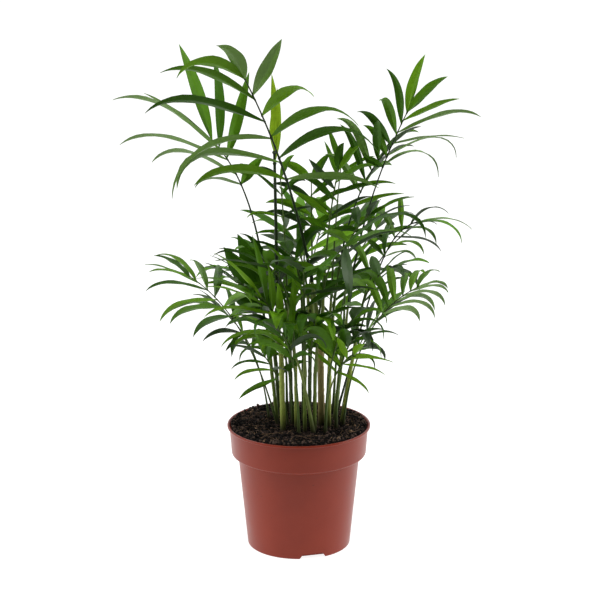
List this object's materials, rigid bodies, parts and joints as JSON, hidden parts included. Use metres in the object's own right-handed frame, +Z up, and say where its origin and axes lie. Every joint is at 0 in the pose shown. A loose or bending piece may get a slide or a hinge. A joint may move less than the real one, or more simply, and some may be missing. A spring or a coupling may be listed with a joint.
{
  "type": "potted parlour palm",
  "caption": "Clump of slender palm stems with arching feathered fronds, growing from moist soil in a round collared plastic nursery pot.",
  "frame": {"origin": "middle of the pot's flat underside", "axes": "+Z up out of the pot; -Y the front, with the tallest frond leaning to the front left; +X to the right as seen from the front"},
  "size_m": [0.3077, 0.2365, 0.443],
  "materials": {
    "pot": "semi-gloss terracotta-coloured plastic with faint scuffs",
    "soil": "moist fibrous peat with bits of root and bark",
    "stem": "pale green ribbed leaf sheaths",
    "frond": "satin mid to dark green leaflets",
    "young_frond": "satin fresh green leaflets"
  },
  "bodies": {
    "root": {"back_frond_1": "frond", "inner_frond_1": "frond", "inner_frond_2": "frond", "inner_frond_3": "frond", "inner_frond_4": "frond", "inner_frond_5": "frond", "inner_frond_6": "frond", "low_frond_1": "young_frond", "low_frond_2": "frond", "low_frond_3": "frond", "low_frond_4": "frond", "low_frond_5": "frond", "low_frond_6": "frond", "low_frond_7": "frond", "middle_frond_1": "frond", "middle_frond_10": "frond", "middle_frond_11": "frond", "middle_frond_12": "frond", "middle_frond_13": "frond", "middle_frond_14": "frond", "middle_frond_15": "frond", "middle_frond_16": "frond", "middle_frond_17": "frond", "middle_frond_18": "frond", "middle_frond_2": "frond", "middle_frond_3": "frond", "middle_frond_4": "frond", "middle_frond_5": "frond", "middle_frond_6": "frond", "middle_frond_7": "frond", "middle_frond_8": "frond", "middle_frond_9": "frond", "pot": "pot", "side_frond_1": "frond", "side_frond_2": "young_frond", "side_frond_3": "frond", "side_frond_4": "frond", "soil": "soil", "spear_leaf": "young_frond", "stem_1": "stem", "stem_10": "stem", "stem_11": "stem", "stem_12": "stem", "stem_13": "stem", "stem_14": "stem", "stem_2": "stem", "stem_3": "stem", "stem_4": "stem", "stem_5": "stem", "stem_6": "stem", "stem_7": "stem", "stem_8": "stem", "stem_9": "stem", "tall_frond_1": "frond", "tall_frond_2": "frond", "tall_frond_3": "frond", "tall_frond_4": "frond"}
  },
  "joints": []
}
